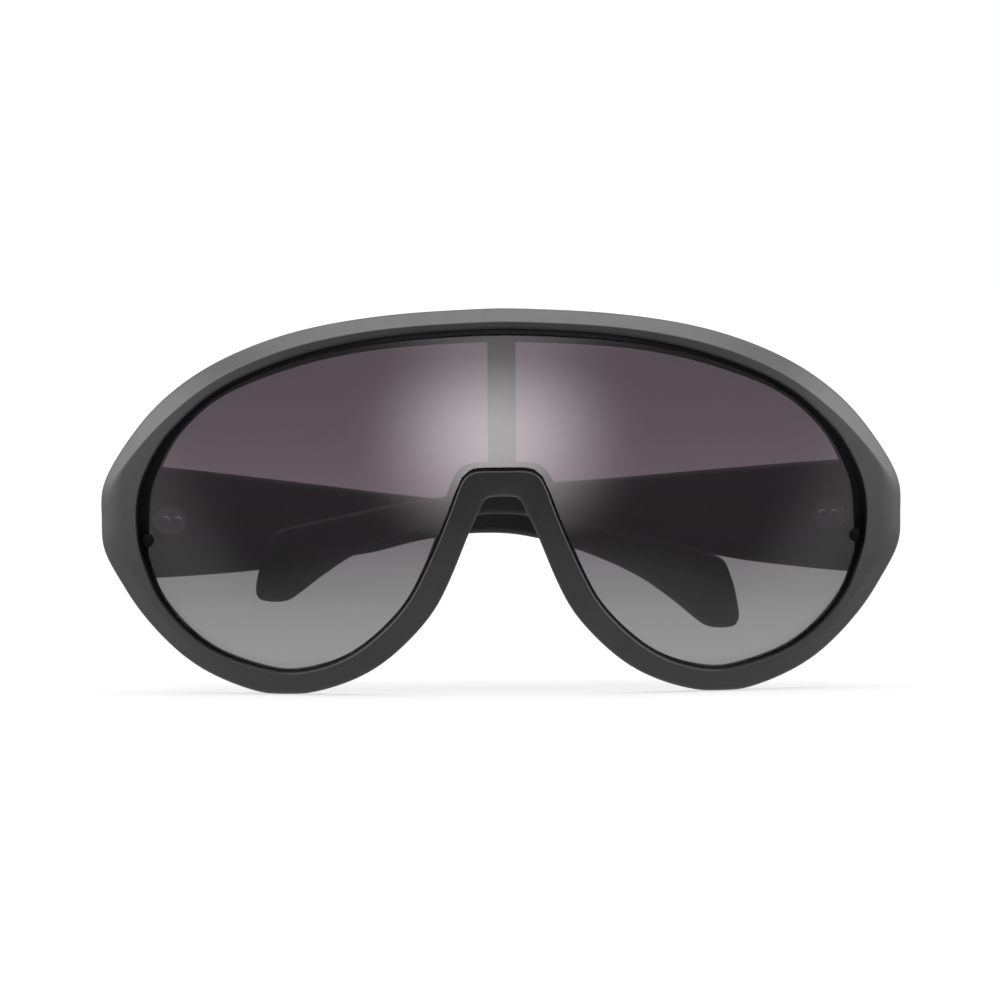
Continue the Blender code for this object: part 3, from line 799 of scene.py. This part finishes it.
# Temples
# One curved arm of the same nylon hangs on each hinge: tall at its root, thin at the neck, with
# a paddle that turns down behind the ear. Its root is sunk on the inside for the hinge leaf.
folded_tip_gap = 0.0210
root_height = 0.0213
root_thickness = 0.0042
temple_corner = 0.0012
temple_corner_points = 7
temple_end_edge = 0.0005
temple_end_segments = 3
temple_steps = 6
leaf_seat_sides = 8
temple_roughness = 0.46
temple_sheen = 0.50
temple_length = 2 * hinge_x - folded_tip_gap

# Length, top, bottom, middle and thickness, as shares of the temple's length and its root's size
temple_shares = (
    (0.0013, 0.488, -0.514, 0.976, 0.980),
    (0.0260, 0.481, -0.510, 0.976, 1.000),
    (0.1050, 0.455, -0.465, 0.976, 1.000),
    (0.1970, 0.419, -0.399, 0.976, 0.952),
    (0.2930, 0.380, -0.293, 0.964, 0.905),
    (0.3780, 0.343, -0.207, 0.958, 0.869),
    (0.4570, 0.314, -0.082, 0.952, 0.833),
    (0.5180, 0.295, -0.016, 0.940, 0.798),
    (0.5620, 0.272, 0.014, 0.929, 0.786),
    (0.6150, 0.230, 0.019, 0.905, 0.774),
    (0.6680, 0.192, -0.019, 0.881, 0.762),
    (0.7100, 0.160, -0.073, 0.845, 0.762),
    (0.7430, 0.138, -0.124, 0.810, 0.762),
    (0.7900, 0.097, -0.214, 0.765, 0.774),
    (0.8260, 0.058, -0.300, 0.714, 0.786),
    (0.8550, 0.026, -0.387, 0.667, 0.786),
    (0.8920, -0.012, -0.521, 0.607, 0.786),
    (0.9200, -0.045, -0.634, 0.560, 0.786),
    (0.9420, -0.070, -0.715, 0.524, 0.762),
    (0.9580, -0.094, -0.738, 0.495, 0.745),
    (0.9730, -0.146, -0.738, 0.466, 0.710),
    (0.9825, -0.249, -0.733, 0.447, 0.680),
    (0.9900, -0.357, -0.724, 0.429, 0.640),
    (0.9955, -0.469, -0.706, 0.408, 0.580),
    (1.0000, -0.580, -0.665, 0.393, 0.476),
)


def curve_through(rows, steps):
    """Open rows of numbers with Catmull-Rom steps between them."""
    rows = np.array(rows)
    longer = np.concatenate([[2 * rows[0] - rows[1]], rows, [2 * rows[-1] - rows[-2]]])
    out = []
    for before, start, end, after in zip(longer, longer[1:], longer[2:], longer[3:]):
        slope = end - before
        bend = 2 * before - 5 * start + 4 * end - after
        twist = 3 * (start - end) + after - before
        for t in np.arange(steps) / steps:
            out.append(start + 0.5 * t * (slope + t * (bend + t * twist)))
    return np.array(out + [rows[-1]])


along, top, bottom, middle, thickness = curve_through(temple_shares, temple_steps).T
corner_lines = []
for across, level in ((-0.5, bottom), (0.5, bottom), (0.5, top), (-0.5, top)):
    x = (middle + across * thickness) * root_thickness
    corner_lines.append(np.stack([x, along * temple_length, level * root_height], 1))
temple_rings = np.stack(corner_lines, 1)
temple_cuts = np.full(temple_rings.shape[:2], temple_corner)
temple_rings = round_corners(temple_rings, temple_cuts, temple_corner_points)
temple_finish = moulded_nylon("satin_temple_nylon", frame_black, temple_roughness, temple_sheen)
for side, label in ((-1, "left"), (1, "right")):
    temple_shape = skin(temple_rings, False)
    caps = [face for face in temple_shape.faces if len(face.verts) > 4]
    bmesh.ops.bevel(
        temple_shape, geom=list({edge for cap in caps for edge in cap.edges}), offset=temple_end_edge,
        segments=temple_end_segments, profile=0.5, affect="EDGES", material=-1, clamp_overlap=True,
    )
    temple = make_piece("temple_arm_" + label, placed(temple_shape, hinge_place(side, True)), temple_finish)
    seat = block(
        (0.0, -leaf_half_height, -leaf_half_height - recess_gap),
        (leaf_outer + recess_gap, temple_leaf_length + recess_gap, leaf_half_height + recess_gap),
        leaf_half_height, leaf_seat_sides,
    )
    cut_away(temple, [placed(seat, hinge_place(side, True))])
    even_normals(temple)
    hand_over(temple, label + "_temple", "temple_" + label)

# Leaf screws
# Two small dome-headed steel screws hold each leaf. Each has a cross recess in its head, and is
# driven straight into the nylon of the end piece or the temple.
head_radius = 0.0009
head_low = 0.00135
head_high = 0.00095
shank_radius = 0.00045
shank_end = 0.0042
cross_width = 0.0002
cross_half = 0.00055
cross_depth = 0.00022
head_side_share = 0.25
head_points = 8
screw_sides = 32
screw_tone = 0.50
screw_roughness = 0.38
screw_places = (
    ("front_leaf_screw_upper_", -0.0050, 0.0013),
    ("front_leaf_screw_lower_", -0.0050, -0.0013),
    ("temple_leaf_screw_near_", 0.0040, 0.0),
    ("temple_leaf_screw_far_", 0.0063, 0.0),
)

screw_profile = [
    (
        head_radius * math.sin(turn),
        head_low - (head_low - head_high) * (head_side_share + (1 - head_side_share) * math.cos(turn)),
    )
    for turn in np.linspace(0, math.pi / 2, head_points)
] + [
    (head_radius, head_low),
    (shank_radius, head_low),
    (shank_radius, shank_end - shank_radius),
    (0.0, shank_end),
]
screw_finish = brushed_steel("bright_screw_steel", screw_tone, screw_roughness)
to_outwards = Matrix.Rotation(math.pi / 2, 4, "Y")
for side, label in ((-1, "left"), (1, "right")):
    for node, back, up in screw_places:
        on_temple = node.startswith("temple")
        stand = hinge_place(side, on_temple) @ Matrix.Translation((0.0, back, up)) @ to_outwards
        screw_shape = placed(turned_shape(screw_profile, screw_sides), stand)
        screw = make_piece("cross_head_" + node + label, screw_shape, screw_finish)
        recess = [
            placed(block((-wide, -tall, head_high - overrun), (wide, tall, head_high + cross_depth)), stand)
            for wide, tall in ((cross_width / 2, cross_half), (cross_half, cross_width / 2))
        ]
        cut_away(screw, recess)
        hand_over(screw, label + "_temple" if on_temple else "front", node + label)

# Hinge screws
# A slotted steel screw drops through the three knuckles of each hinge, and is the axle that its
# temple turns on.
axle_radius = 0.0006
axle_low = -0.0029
axle_head_low = 0.0027
axle_head_high = 0.0032
axle_head_radius = 0.00115
axle_dome = 0.00012
axle_tip_share = 0.7
axle_tip_bevel = 0.0002
slot_width = 0.0003
slot_depth = 0.0002
slot_half = 0.002

# The dome's points: radius as a share of the head's, and fall as a share of the dome's height
dome_shares = ((1.0, 1.0), (0.85, 0.3), (0.5, 0.0), (0.0, 0.0))

axle_profile = [
    (0.0, axle_low),
    (axle_radius * axle_tip_share, axle_low),
    (axle_radius, axle_low + axle_tip_bevel),
    (axle_radius, axle_head_low),
    (axle_head_radius, axle_head_low),
] + [(axle_head_radius * wide, axle_head_high - axle_dome * fall) for wide, fall in dome_shares]
for side, label in ((-1, "left"), (1, "right")):
    lean = Matrix.Rotation(left_lean if side < 0 else 0.0, 4, "Y")
    stand = hinge_place(side) @ lean
    axle_shape = placed(turned_shape(axle_profile), stand)
    axle = make_piece("slotted_hinge_screw_" + label, axle_shape, screw_finish)
    slot = block(
        (-slot_half, -slot_width / 2, axle_head_high - slot_depth), (slot_half, slot_width / 2, overrun)
    )
    cut_away(axle, [placed(slot, stand)])
    hand_over(axle, "front", "hinge_screw_" + label)

# The lamp that the lens mirrors
# A small soft box low in front of the glasses, brightest at its middle, which only the lens's
# gloss shows. It makes the pale glow either side of the centre post.
glow_lamp_place = (-0.0015, -0.094, 0.033)
glow_target = (-0.0012, -0.024, 0.0465)
glow_size = (0.144, 0.109)
glow_radiance = 6.8
glow_fall = 1.7
glow_colour = (1.0, 0.95, 0.955)
lamp_middle = (0.5, 0.5, 0.0)
lamp_reach = 0.5

glow_lamp = hang_lamp("lens_lamp", glow_lamp_place, glow_target, glow_size, glow_radiance)
glow_finish = Finish(glow_lamp.data)
# Places on the lamp run from 0 to 1 across it and up it
on_lamp = glow_finish.node("NewGeometry", output="Parametric")
from_middle = glow_finish.node("VectorMath", {"operation": "SUBTRACT"}, {0: on_lamp, 1: lamp_middle})
middle_distance = glow_finish.node("VectorMath", {"operation": "LENGTH"}, {0: from_middle}, "Value")
glow_fade = glow_finish.smooth(lamp_reach - middle_distance, 0.0, lamp_reach)
glow_finish.feed(glow_finish.tree.nodes["Emission"], {"Color": glow_fade**glow_fall})
glow_lamp.data.color = glow_colour
glow_lamp.visible_diffuse = False
glow_lamp.visible_transmission = False
lens_only = bpy.data.collections.new("lens_lamp_receivers")
lens_only.objects.link(lens)
glow_lamp.light_linking.receiver_collection = lens_only
